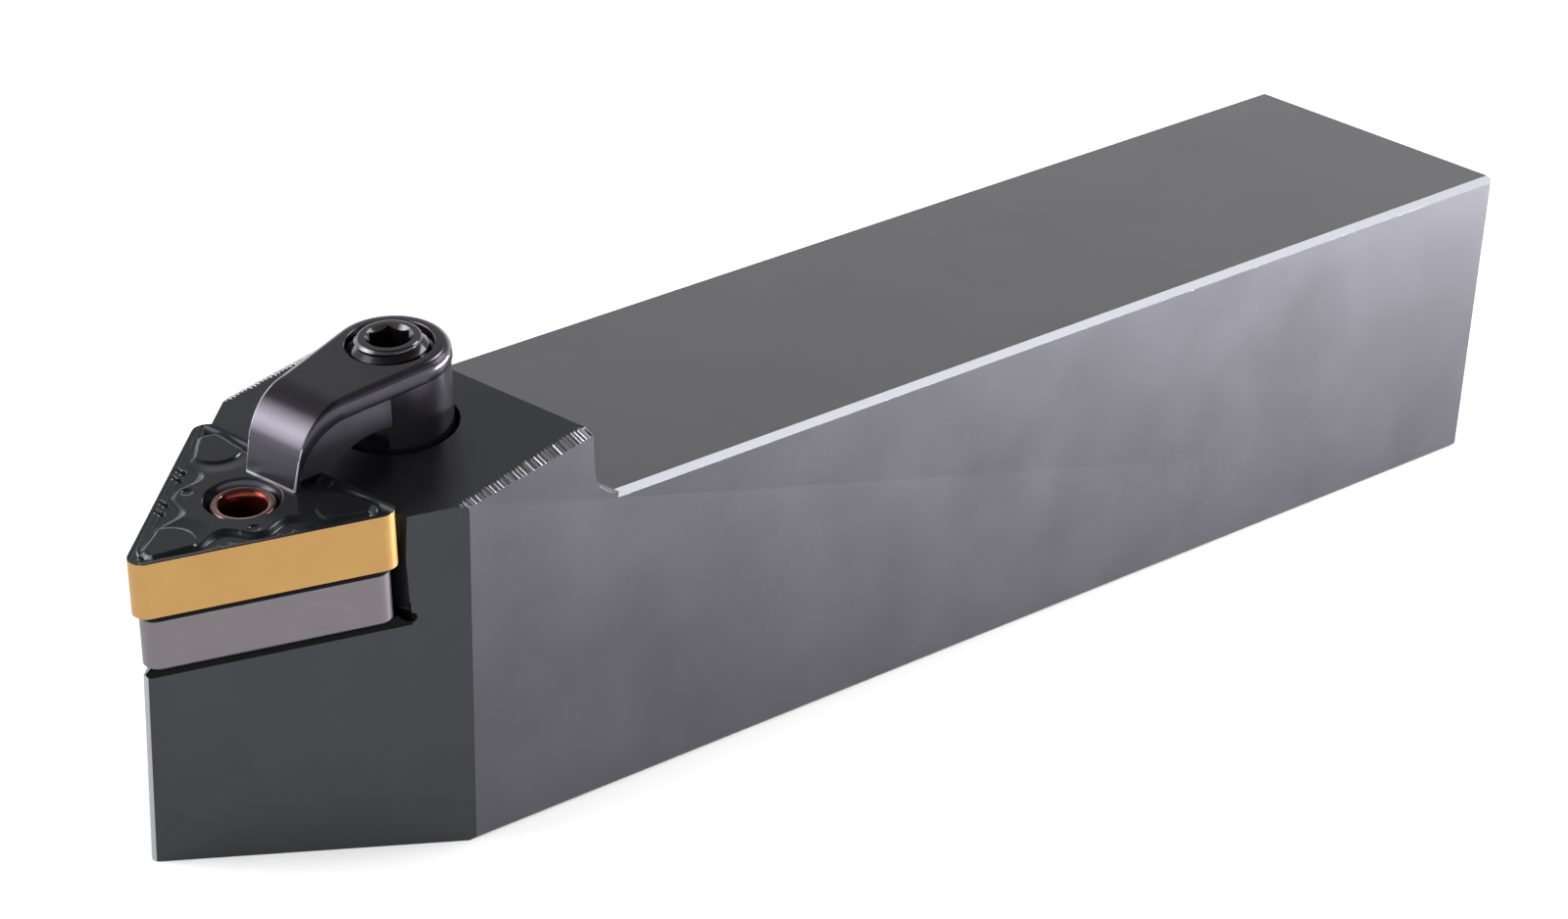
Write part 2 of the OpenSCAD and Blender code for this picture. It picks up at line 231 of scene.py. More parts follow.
def add_node(tree, kind, inputs=None, **settings):
    """Adds a node. inputs holds its sockets' values, or the outputs that are linked to them."""
    node = tree.nodes.new(kind)
    for key, value in settings.items():
        setattr(node, key, value)
    for key, value in (inputs or {}).items():
        if isinstance(value, bpy.types.NodeSocket):
            tree.links.new(value, node.inputs[key])
        else:
            node.inputs[key].default_value = value
    return node


def new_material(name):
    """A new material and its empty node tree."""
    material = bpy.data.materials.new(name)
    material.use_nodes = True
    material.node_tree.nodes.clear()
    return material, material.node_tree


def finish_material(tree, **sockets):
    """The shader and the output; sockets are the shader's, with _ for a blank in their names."""
    shader = add_node(tree, "ShaderNodeBsdfPrincipled", {k.replace("_", " "): v for k, v in sockets.items()})
    add_node(tree, "ShaderNodeOutputMaterial", {"Surface": shader.outputs["BSDF"]})


def tone(tree, colour_in, noise, darker, lighter):
    """The colour, darker or lighter with a noise's value."""
    factor = add_node(tree, "ShaderNodeMapRange", {"Value": noise, "From Min": 0.3, "From Max": 0.7,
                                                   "To Min": darker, "To Max": lighter})
    hsv = add_node(tree, "ShaderNodeHueSaturation", {"Color": colour_in, "Value": factor.outputs["Result"]})
    return hsv.outputs["Color"]


def finish_metal(tree, colour_in, pattern, contrast, height, bump, metallic, roughness, relief=0.01):
    """A metal or a metallic coat: its tone follows a pattern and its surface a height, relief mm at most."""
    raised = add_node(tree, "ShaderNodeBump", {"Strength": bump, "Distance": relief * MM, "Height": height})
    finish_material(tree, Base_Color=tone(tree, colour_in, pattern, 1 - contrast, 1 + contrast),
                    Metallic=metallic, Roughness=roughness, Normal=raised.outputs["Normal"])


def steel_skin(name, colour_in, spread, crystal, roughness):
    """A converted steel skin: cloudy tone over millimetres, under a fine crystal grain."""
    material, tree = new_material(name)
    place = add_node(tree, "ShaderNodeTexCoord").outputs["Object"]
    cloud = add_node(tree, "ShaderNodeTexNoise", {"Vector": place, "Scale": 1 / (spread * MM), "Detail": 3})
    grain = add_node(tree, "ShaderNodeTexNoise", {"Vector": place, "Scale": 1 / (crystal * MM), "Detail": 2})
    mixed = add_node(tree, "ShaderNodeMix",
                     {"Factor": 0.4, "A": cloud.outputs["Fac"], "B": grain.outputs["Fac"]})
    rough = add_node(tree, "ShaderNodeMapRange",
                     {"Value": mixed.outputs["Result"], "From Min": 0.3, "From Max": 0.7,
                      "To Min": roughness - 0.03, "To Max": roughness + 0.03})
    finish_metal(tree, colour_in, mixed.outputs["Result"], 0.06, grain.outputs["Fac"], bump=0.12,
                 metallic=0.9, roughness=rough.outputs["Result"], relief=0.02)
    return material


def phosphated_steel(colour_in):
    """Alloy steel, ground, then phosphated: an even grey satin skin, cloudy only from close by."""
    # crystals are about 0.03 mm: drawn at 0.18 mm to show at all
    return steel_skin("ground_phosphated_steel", colour_in, 9, 0.18, 0.34)


def milled_steel(name, colour_in):
    """The head, milled after grinding and blackened with it: darker, and grained by the cutter."""
    # the cutter's marks are about 0.05 mm: drawn at 0.25 mm
    return steel_skin(name, colour_in, 4, 0.25, 0.32)


def worn_and_highlit_steel(name, colour_in):
    """The edges, where handling has worn the black skin down to brighter steel, painted brighter still as
    their highlight; also the painted highlight on the shank's chamfers and the head's ticks.
    """
    # the skin wears off in flecks of about 0.1 mm
    return steel_skin(name, colour_in, 1.5, 0.1, 0.3)


def ground_carbide(name, colour_in):
    """Sintered tungsten carbide, ground: dense grey metal with faint parallel grinding lines."""
    material, tree = new_material(name)
    place = add_node(tree, "ShaderNodeTexCoord").outputs["Object"]
    drawn_out = add_node(tree, "ShaderNodeMapping", {"Vector": place, "Scale": (0.04, 0.04, 1)})
    # grinding lines are about 0.02 mm apart: drawn 0.08 mm apart
    lines = add_node(tree, "ShaderNodeTexNoise",
                     {"Vector": drawn_out.outputs["Vector"], "Scale": 1 / (0.08 * MM), "Detail": 3})
    cloud = add_node(tree, "ShaderNodeTexNoise", {"Vector": place, "Scale": 1 / (3 * MM), "Detail": 2})
    mixed = add_node(tree, "ShaderNodeMix",
                     {"Factor": 0.5, "A": cloud.outputs["Fac"], "B": lines.outputs["Fac"]})
    finish_metal(tree, colour_in, mixed.outputs["Result"], 0.05, lines.outputs["Fac"], bump=0.1,
                 metallic=0.8, roughness=0.42)
    return material


def smooth_skin(name, colour_in, spread, grain, contrast, bump, metallic, roughness):
    """A smooth skin: its tone drifts over a spread, and its surface has a fine grain."""
    material, tree = new_material(name)
    place = add_node(tree, "ShaderNodeTexCoord").outputs["Object"]
    cloud = add_node(tree, "ShaderNodeTexNoise", {"Vector": place, "Scale": 1 / (spread * MM), "Detail": 2})
    fine = add_node(tree, "ShaderNodeTexNoise", {"Vector": place, "Scale": 1 / (grain * MM), "Detail": 2})
    finish_metal(tree, colour_in, cloud.outputs["Fac"], contrast, fine.outputs["Fac"], bump,
                 metallic, roughness)
    return material


def nitride_coat(colour_in):
    """Titanium nitride laid on by vapour: a thin gold metal skin over pressed and ground carbide."""
    # the coat's nodules are a few microns: drawn at 0.1 mm
    return smooth_skin("titanium_nitride_coat", colour_in, spread=2.5, grain=0.1, contrast=0.03, bump=0.08,
                       metallic=0.9, roughness=0.45)


def alumina_coat(colour_in):
    """Black alumina coat laid on by vapour, wet blasted: dark satin, a little glassy on the ridges."""
    # the blasted grain is a few microns: drawn at 0.12 mm, and the tone follows it
    return smooth_skin("black_alumina_coat", colour_in, spread=0.12, grain=0.12, contrast=0.07, bump=0.1,
                       metallic=0.8, roughness=0.2)


def tempered_steel(colour_in):
    """Turned steel tempered to a brown oxide and oiled: red brown and glossy, with no grain to see."""
    return smooth_skin("brown_tempered_steel", colour_in, spread=1.5, grain=1.5, contrast=0.15, bump=0.1,
                       metallic=0.9, roughness=0.14)


def black_oxide(name, colour_in, roughness):
    """Forged steel blackened in a hot salt bath: near black, smooth where tumbled, dull where not."""
    material, tree = new_material(name)
    place = add_node(tree, "ShaderNodeTexCoord").outputs["Object"]
    cloud = add_node(tree, "ShaderNodeTexNoise", {"Vector": place, "Scale": 1 / (2 * MM), "Detail": 3})
    rough = add_node(tree, "ShaderNodeMapRange",
                     {"Value": cloud.outputs["Fac"], "From Min": 0, "From Max": 1,
                      "To Min": roughness - 0.01, "To Max": roughness + 0.01})
    finish_material(tree, Base_Color=tone(tree, colour_in, cloud.outputs["Fac"], 0.97, 1.03),
                    Metallic=0.9, Roughness=rough.outputs["Result"])
    return material


def oiled_steel(colour_in):
    """Rolled and hardened screw steel, oil blackened: dark and glossy, brown where the oil burnt."""
    material, tree = new_material("oil_blackened_steel")
    place = add_node(tree, "ShaderNodeTexCoord").outputs["Object"]
    cloud = add_node(tree, "ShaderNodeTexNoise", {"Vector": place, "Scale": 1 / (1.2 * MM), "Detail": 2})
    scorch = add_node(tree, "ShaderNodeMapRange",
                      {"Value": cloud.outputs["Fac"], "From Min": 0.56, "From Max": 0.8,
                       "To Min": 0, "To Max": 0.7})
    burnt_oil = srgb("#6A4432")
    brown = add_node(tree, "ShaderNodeMix",
                     {"Factor": scorch.outputs["Result"], "A": colour_in, "B": burnt_oil}, data_type="RGBA")
    finish_material(tree, Base_Color=brown.outputs["Result"], Metallic=0.95, Roughness=0.13)
    return material


def only(obj):
    """Selects this object alone and makes it active."""
    for other in bpy.context.view_layer.objects:
        other.select_set(False)
    obj.select_set(True)
    bpy.context.view_layer.objects.active = obj


def edit(obj, action="DESELECT", mode="VERT"):
    """Edit mode on this object, with nothing or everything selected."""
    only(obj)
    bpy.ops.object.mode_set(mode="EDIT")
    bpy.ops.mesh.select_mode(type=mode)
    bpy.ops.mesh.select_all(action=action)


def leave():
    """Back to object mode, which writes the edits to the mesh."""
    bpy.ops.object.mode_set(mode="OBJECT")


def pick_edges(obj, axis):
    """Selects only the edges that lie where one coordinate is zero, in edit mode."""
    edit(obj, mode="EDGE")
    leave()
    lies = [abs(point.co[axis]) < ON_PLANE for point in obj.data.vertices]
    chosen = [edge for edge in obj.data.edges if all(lies[i] for i in edge.vertices)]
    if not chosen:
        raise RuntimeError(f"{obj.name}: no edge to select")
    for edge in chosen:
        edge.select = True
    bpy.ops.object.mode_set(mode="EDIT")


def named(name):
    """Names the new primitive and its mesh."""
    obj = bpy.context.view_layer.objects.active
    obj.name = obj.data.name = name
    return obj


def apply_modifiers(obj):
    """Applies every modifier of a piece, in order."""
    only(obj)
    for modifier in list(obj.modifiers):
        bpy.ops.object.modifier_apply(modifier=modifier.name)


def into_place(obj, place):
    """Moves a piece that was modelled in its own frame to its place, and leaves its object at the origin."""
    only(obj)
    bpy.context.view_layer.update()
    obj.matrix_world = place @ obj.matrix_world
    bpy.ops.object.transform_apply(location=True, rotation=True, scale=True)
    return obj


def copy_of_solid(node, name):
    """A copy of a solid's mesh, its loose triangles merged and its flat faces joined."""
    obj = bpy.data.objects.new(name, frame["nodes"][node].data.copy())
    bpy.context.collection.objects.link(obj)
    obj.data.materials.clear()
    edit(obj, "SELECT")
    bpy.ops.mesh.remove_doubles(threshold=0.001 * MM)
    bpy.ops.mesh.dissolve_limited(angle_limit=radians(0.4))
    leave()
    return obj


def combine(obj, tool, operation):
    """Joins a tool to a piece, cuts it out or keeps what both share, and removes the tool."""
    cut = obj.modifiers.new("combine", "BOOLEAN")
    cut.operation = operation
    cut.solver = "EXACT"
    cut.object = tool
    apply_modifiers(obj)
    if not obj.data.polygons:
        raise RuntimeError(f"{obj.name}: nothing left after {operation}")
    bpy.data.objects.remove(tool)
    return obj


def soften(obj, width, angle=30, material=-1):
    """Rounds every edge sharper than the angle, in a material slot of its own if one is given."""
    bevel = obj.modifiers.new("edges", "BEVEL")
    bevel.width = width
    bevel.segments = 2
    bevel.limit_method = "ANGLE"
    bevel.angle_limit = radians(angle)
    bevel.miter_outer = "MITER_ARC"
    bevel.material = material
    apply_modifiers(obj)


def clean(obj):
    """Merges doubles and turns every face outwards."""
    edit(obj, "SELECT")
    bpy.ops.mesh.remove_doubles(threshold=0.0005 * MM)
    bpy.ops.mesh.normals_make_consistent(inside=False)
    leave()


def drawn(name, places, **settings):
    """A closed outline, drawn from a circle through the places. Lengths in millimetres."""
    bpy.ops.mesh.primitive_circle_add(vertices=len(places), radius=MM, **settings)
    obj = named(name)
    for vertex, place in zip(obj.data.vertices, places):
        vertex.co = Vector(place) * MM
    return obj


def turned(name, profile):
    """A turned piece: the profile, from the axis to the axis, spun round Z. Lengths in millimetres."""
    obj = drawn(name, [(r, 0, z) for r, z in profile])
    pick_edges(obj, 0)
    bpy.ops.mesh.delete(type="EDGE")
    bpy.ops.mesh.select_all(action="SELECT")
    bpy.ops.mesh.spin(steps=72, angle=2 * pi, center=(0, 0, 0), axis=(0, 0, 1))
    leave()
    clean(obj)
    return obj


def thread_ridge(name, top, run, pitch):
    """The ridge of a right-hand metric thread, from below its lower end to above its top, in millimetres."""
    # the ridge's foot sinks into the core, and its crest stands a little past the thread's size
    foot, sunk = THREAD - 0.5 * pitch - 0.11, 0.47
    crest, flat = THREAD + 0.02, 0.06
    turns = int(run / pitch) + 3
    start = top + (1 - turns + flat) * pitch
    obj = drawn(name, [(r, 0, start + z * pitch) for r, z in (
        (foot, -sunk), (crest, -flat), (crest, flat), (foot, sunk))])
    screw = obj.modifiers.new("helix", "SCREW")
    screw.axis = "Z"
    screw.screw_offset = pitch * MM
    screw.angle = 2 * pi
    screw.iterations = turns
    screw.steps = screw.render_steps = 48
    apply_modifiers(obj)
    edit(obj, mode="EDGE")
    bpy.ops.mesh.select_non_manifold(extend=False, use_wire=False, use_boundary=True,
                                     use_multi_face=False, use_non_contiguous=False, use_verts=False)
    bpy.ops.mesh.edge_face_add()
    leave()
    clean(obj)
    return obj


def socket(name, across, top, depth, mouth):
    """A hexagon key's hole with a cone mouth, as a tool to cut with. Lengths in millimetres."""
    above, over, into = 1, 0.5, 0.1
    tall = depth + above
    bpy.ops.mesh.primitive_cylinder_add(vertices=6, radius=across / 2 / cos(pi / 6) * MM, depth=tall * MM,
                                        location=(0, 0, (top + above - tall / 2) * MM),
                                        rotation=(0, 0, pi / 12))
    hexagon = into_place(named(name), Matrix())
    # the cone leans 45 degrees, from inside the hexagon to over the top
    height = mouth + over - across / 2 + into
    bpy.ops.mesh.primitive_cone_add(vertices=72, radius1=(across / 2 - into) * MM,
                                    radius2=(mouth + over) * MM, depth=height * MM,
                                    location=(0, 0, (top + over - height / 2) * MM))
    return combine(hexagon, into_place(named(name + "_mouth"), Matrix()), "UNION")


def complete(obj, node, body, slot, *materials, angle=30):
    """Smooth shading, materials and the piece's place on its body."""
    for material in materials:
        obj.data.materials.append(material)
    only(obj)
    bpy.ops.object.shade_smooth_by_angle(angle=radians(angle))
    even = obj.modifiers.new("even shading", "WEIGHTED_NORMAL")
    even.keep_sharp = True
    apply_modifiers(obj)
    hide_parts(node)
    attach(obj, body)


class TOOLHOLDER_OT_holder_body(bpy.types.Operator):
    """Shank and head: broken edges and milling ticks along the chamfers of the head"""

    bl_idname = "toolholder.holder_body"
    bl_label = "Holder body"

    def execute(self, context):
        sizes, finish = context.scene.holder_sizes, context.scene.holder_finish
        obj = copy_of_solid("holder_body", "holder_body_look")
        for side in (-1, 1):
            combine(obj, self.seat_rim(side), "DIFFERENCE")
        for material in (phosphated_steel(finish.holder),
                         milled_steel("milled_blackened_steel", finish.head),
                         # brighter steel for wear and painted edge highlights
                         worn_and_highlit_steel("worn_edge_and_highlight_steel", finish.edge),
                         # darker steel, painted shade for the seat's rim under the shim
                         milled_steel("painted_shade_milled_steel", finish.rim),
                         # brighter steel, painted highlight for the shank's chamfers
                         worn_and_highlit_steel("chamfer_painted_highlight_steel", finish.chamfer)):
            obj.data.materials.append(material)
        # the rounded edges get brighter steel, for wear and a painted edge highlight
        soften(obj, sizes.edge, angle=24, material=WORN_AND_HIGHLIT)
        for side in (-1, 1):
            combine(obj, self.ticks(side, sizes), "DIFFERENCE")
        for face in obj.data.polygons:
            face.material_index = self.finish_of(face)
        complete(obj, "holder_body", "holder", "holder_steel", angle=22)
        return {"FINISHED"}

    def finish_of(self, face):
        """The material slot of a face, by where it lies and how it leans."""
        normal = face.normal
        to_ridge = (SEAT @ Vector((RIDGE_X * MM, 0, 0))).x - face.center.x
        height = (TO_SEAT @ face.center).z / MM
        at_rim = abs(height + SEAT_DEPTH + 0.2) < 0.5
        if face.center.x < (TIP_X + CREST_LENGTH) * MM and normal.x < -0.88 and not at_rim:
            # the crest of the nose: brighter steel for wear and a painted edge highlight
            return WORN_AND_HIGHLIT
        if to_ridge < 0 and 0.35 < abs(normal.y) < 0.9 and 0.35 < normal.z < 0.9:
            # the chamfers along the shank, painted brighter as their highlight
            return CHAMFER_HIGHLIGHT
        beside_head = abs(face.center.y) > 8 * MM and -2 < height < -INSERT_RISE - 0.02
        if beside_head and 0 < to_ridge < CHAMFER_RUN * MM and 0.1 < abs(normal.y) < 0.9:
            # on the head's chamfers the ticks are painted bright as their highlight, and the end at the
            # ridge is a painted glint
            in_tick = abs((TO_SEAT.to_3x3() @ normal).x) > 0.2
            return WORN_AND_HIGHLIT if in_tick or to_ridge < HIGHLIT_END * MM else PHOSPHATED
        # the seat's rim under the shim gets darker steel, painted shade for the shim's shadow
        if at_rim:
            return PAINTED_SHADE
        if face.material_index != PHOSPHATED:
            return face.material_index
        square = max(abs(c) for c in normal) > 0.999
        return PHOSPHATED if square or to_ridge <= 0 else MILLED

    def seat_rim(self, side):
        """The block that cuts the chamfer where a nose face meets the seat."""
        drop = 0.6
        along = Vector((cos(pi / 6), side * sin(pi / 6), 0))
        out = Vector((-sin(pi / 6), side * cos(pi / 6), 1)).normalized()
        # the nose face's upper edge, from before the tip to past the seat's corner
        start = Vector((-0.5, side * -0.22, -SEAT_DEPTH))
        end = Vector((17.9, side * 10.4, -SEAT_DEPTH))
        bpy.ops.mesh.primitive_cube_add(size=2 * MM)
        block = named("rim_block")
        middle = (start + end) / 2 + out * (1 - drop / sqrt(2))
        turn = Matrix((along, out.cross(along), out)).transposed().to_4x4()
        stretch = Matrix.Diagonal(((end - start).length / 2, 1, 1, 1))
        block.matrix_world = SEAT @ Matrix.Translation(middle * MM) @ turn @ stretch
        return into_place(block, Matrix())

    def ticks(self, side, sizes):
        """A comb that cuts shallow notches across one chamfer of the head, as the cutter's chatter did."""
        pitch, depth = sizes.notch_pitch / MM, sizes.notch_depth / MM
        run, half_width, back, clear = 15, 1.2, 0.4, 0.03
        loop = [(-0.1, back)]
        for i in range(int(run / pitch)):
            # the notches differ a little in place, width and depth
            middle = -0.5 - pitch * (i + 0.08 * sin(2.4 * i))
            half = pitch * (0.33 + 0.08 * sin(3.7 * i))
            deepest = -depth * (0.7 + 0.3 * sin(5.1 * i))
            loop += [(middle + half, clear), (middle, deepest), (middle - half, clear)]
        loop.append((loop[-1][0], back))
        obj = drawn("ticks", [(x, -half_width, z) for x, z in loop], fill_type="NGON")
        edit(obj, "SELECT")
        bpy.ops.mesh.extrude_region_move(TRANSFORM_OT_translate={"value": (0, 2 * half_width * MM, 0)})
        leave()
        for vertex in obj.data.vertices:
            if vertex.co.y > 0:
                # the notches don't run quite parallel
                vertex.co.x += 0.04 * MM * sin(7 * vertex.co.x / MM)
        clean(obj)
        place = SEAT @ Matrix.Translation((RIDGE_X * MM, side * 12.5 * MM, (-INSERT_RISE - 0.4) * MM))
        lean = Matrix.Rotation(radians(1.1), 4, "Y")
        return into_place(obj, place @ lean @ Matrix.Rotation(radians(-25 * side), 4, "X"))


class TOOLHOLDER_OT_shim(bpy.types.Operator):
    """Shim: ground triangular plate with broken edges"""

    bl_idname = "toolholder.shim"
    bl_label = "Shim"

    def execute(self, context):
        chamfer, lower_share = 0.55, 0.36
        obj = copy_of_solid("shim", "shim_look")
        heights = [(TO_SEAT @ v.co).z / MM for v in obj.data.vertices]
        # the outline's points lie further out than the hole's
        outer = [(INSERT.inverted() @ v.co).xy.length / MM > 4.5 for v in obj.data.vertices]
        weights = obj.data.attributes.new("bevel_weight_edge", "FLOAT", "EDGE")
        for edge in obj.data.edges:
            for level, share in ((INSERT_THICKNESS, 1), (SEAT_DEPTH, lower_share)):
                if all(outer[i] and abs(heights[i] + level) < 0.05 for i in edge.vertices):
                    weights.data[edge.index].value = share
        bevel = obj.modifiers.new("broken edges", "BEVEL")
        bevel.width = chamfer * MM
        bevel.segments = 1
        bevel.limit_method = "WEIGHT"
        apply_modifiers(obj)
        soften(obj, 0.06 * MM)
        # the chamfer round the shim's top gets darker carbide: painted shade for the gap under the insert
        for face in obj.data.polygons:
            rise = (TO_SEAT @ face.center).z / MM + INSERT_THICKNESS
            if abs(rise) < 0.5 and 0.3 < (TO_SEAT.to_3x3() @ face.normal).z < 0.95:
                face.material_index = 1
        finish = context.scene.holder_finish
        complete(obj, "shim", "holder", "shim_carbide",
                 ground_carbide("ground_tungsten_carbide", finish.shim),
                 # darker carbide, painted shade for the shim's rim
                 ground_carbide("painted_shade_tungsten_carbide", finish.shim_rim))
        return {"FINISHED"}


def outline_reach(angle, inset=0.0):
    """Distance from the insert's middle to its outline, in millimetres, in one direction."""
    nearest = min(((angle - pi - 2 * pi * k / 3 + pi) % (2 * pi) - pi for k in range(3)), key=abs)
    apothem = INSERT_IC / 2 - inset
    corner = INSERT_CORNER - inset
    centre = INSERT_IC - 2 * INSERT_CORNER
    flat = apothem / cos(pi / 3 - abs(nearest))
    # the corner's arc ends where its circle touches the side
    touch = atan2(corner * sin(pi / 3), centre + corner * cos(pi / 3))
    if abs(nearest) >= touch:
        return flat
    along = centre * cos(nearest)
    return along + sqrt(max(corner ** 2 - (centre * sin(nearest)) ** 2, 0))


def step(x):
    """Smooth rise from 0 to 1 as x goes from 0 to 1."""
    x = min(max(x, 0), 1)
    return x * x * (3 - 2 * x)


def relief(x, y, groove):
    """Height of the insert's top, in millimetres, at a point measured from the hole's axis."""
    sides = [2 * pi * k / 3 for k in range(3)]
    away, along = max((x * cos(a) + y * sin(a), -x * sin(a) + y * cos(a)) for a in sides)
    to_edge = INSERT_IC / 2 - away
    to_corner = max(-x * cos(a) - y * sin(a) for a in sides)
    # the island's wall waves along the side: out at the middle, in at the waists, out again to the corners
    from_middle = abs(along)
    if from_middle < WAVE_LENGTH:
        wall = ISLAND_WALL + ISLAND_WAVE * cos(2 * pi * from_middle / WAVE_LENGTH)
    else:
        wall = ISLAND_WALL + ISLAND_WAVE + 0.3 * step((from_middle - WAVE_LENGTH) / 3)
    inside = step((wall - away) / 0.8 + 0.5) * step((10.2 - to_corner) / 0.5)
    floor = -groove * step((to_edge - 0.2) / 0.7)
    for rib in RIBS:
        bend = rib * (1 + 0.1 * (to_edge - 0.6) ** 2)
        crest = 0.15 * step(1.4 - abs(along - bend) / 0.2)
        floor += crest * step((to_edge - 0.2) / 0.2) * step((1.2 - to_edge) / 0.2)
    top = 0.0
    for a in sides:
        # the island dips towards the arc of each corner's tongue, and the tongue has a dimple at its tip
        reach = -x * cos(a) - y * sin(a)
        across = -x * sin(a) + y * cos(a)
        off = sqrt((reach - TONGUE_REACH) ** 2 + across ** 2) - TONGUE_RADIUS
        if 4 < reach < TONGUE_REACH:
            top -= 0.13 * step(off / 0.25 + 0.5) * (1 - step(off / 1.7))
        floor -= 0.07 * step((0.42 - sqrt((reach - DIMPLE_REACH) ** 2 + across ** 2)) / 0.25)
        # the middle of each side, which lies across from a corner, has an eye with a ring
        eye = sqrt((reach + EYE_REACH) ** 2 + (across - EYE_ALONG) ** 2)
        ring = 0.05 * step(1 - abs(eye - 1.0) / 0.16) * step((4.8 + reach) / 0.3)
        top -= 0.11 * step((0.55 - eye) / 0.3) - ring
    return min(inside * top + (1 - inside) * floor, 0)


class TOOLHOLDER_OT_insert(bpy.types.Operator):
    """Insert: gold flanks, and a black top and underside with the chip breaker's waves, ribs and dishes"""

    bl_idname = "toolholder.insert"
    bl_label = "Insert"

    def execute(self, context):
        sizes, finish = context.scene.holder_sizes, context.scene.holder_finish
        hone = 0.05
        bore = INSERT_HOLE / 2
        mouth = bore + 0.45
        half = INSERT_THICKNESS / 2
        count = 432
        groove = sizes.groove / MM
        bpy.ops.mesh.primitive_circle_add(vertices=count, radius=mouth * MM)
        obj = named("insert_look")
        edit(obj, "SELECT")
        bpy.ops.mesh.duplicate()
        leave()
        # the second circle is drawn out to the outline, with its points closer together at the corners
        for i, vertex in enumerate(obj.data.vertices):
            turn = atan2(vertex.co.y, vertex.co.x)
            turn -= 0.2 * sin(3 * (turn - pi))
            reach = mouth if i < count else outline_reach(turn, hone)
            vertex.co = Vector((cos(turn), sin(turn), 0)) * reach * MM
        edit(obj, "SELECT", "EDGE")
        bpy.ops.mesh.bridge_edge_loops(number_cuts=sizes.rings, interpolation="LINEAR")
        leave()
        for vertex in obj.data.vertices:
            vertex.co.z = relief(vertex.co.x / MM, vertex.co.y / MM, groove) * MM
        # countersink and bore down to the middle plane
        for reach, z in ((mouth - 0.1, -0.1), (mouth - 0.18, -0.45), (bore, -0.75), (bore, -half)):
            self.extrude_rim(obj, True, lambda turn: reach, z)
        # honed edge and flank down to the middle plane
        self.extrude_rim(obj, False, outline_reach, -hone)
        self.extrude_rim(obj, False, outline_reach, -half)
        self.mirror_below(obj, -half)
        for face in obj.data.polygons:
            reach = face.center.xy.length / MM
            edge = outline_reach(atan2(face.center.y, face.center.x)) - 0.02
            flank = abs(face.normal.z) < 0.3 and reach > bore + 0.3 and reach > edge
            face.material_index = 1 if flank else 0
        into_place(obj, INSERT)
        complete(obj, "insert", "holder", "insert_coating", alumina_coat(finish.rake),
                 nitride_coat(finish.flank))
        return {"FINISHED"}

    def extrude_rim(self, obj, inner, reach, z):
        """Extrudes the open rim of the hole, or of the outline, to a reach and a height."""
        edit(obj, "SELECT", "EDGE")
        bpy.ops.mesh.region_to_loop()
        leave()
        points = obj.data.vertices
        near_hole = [point.co.xy.length < (INSERT_HOLE / 2 + 0.8) * MM for point in points]
        for edge in obj.data.edges:
            if all(near_hole[i] for i in edge.vertices) != inner:
                edge.select = False
        for point in points:
            if near_hole[point.index] != inner:
                point.select = False
        bpy.ops.object.mode_set(mode="EDIT")
        bpy.ops.mesh.extrude_edges_move()
        leave()
        for point in obj.data.vertices:
            if point.select:
                turn = atan2(point.co.y, point.co.x)
                point.co = Vector((cos(turn) * reach(turn), sin(turn) * reach(turn), z)) * MM

    def mirror_below(self, obj, height):
        """Mirrors the upper half of the insert to below a height."""
        middle = bpy.data.objects.new("middle", None)
        bpy.context.collection.objects.link(middle)
        middle.location.z = height * MM
        bpy.context.view_layer.update()
        mirror = obj.modifiers.new("underside", "MIRROR")
        mirror.mirror_object = middle
        mirror.use_axis = (False, False, True)
        mirror.merge_threshold = 0.01 * MM
        apply_modifiers(obj)
        bpy.data.objects.remove(middle)
        edit(obj, "SELECT")
        bpy.ops.mesh.normals_make_consistent(inside=False)
        leave()


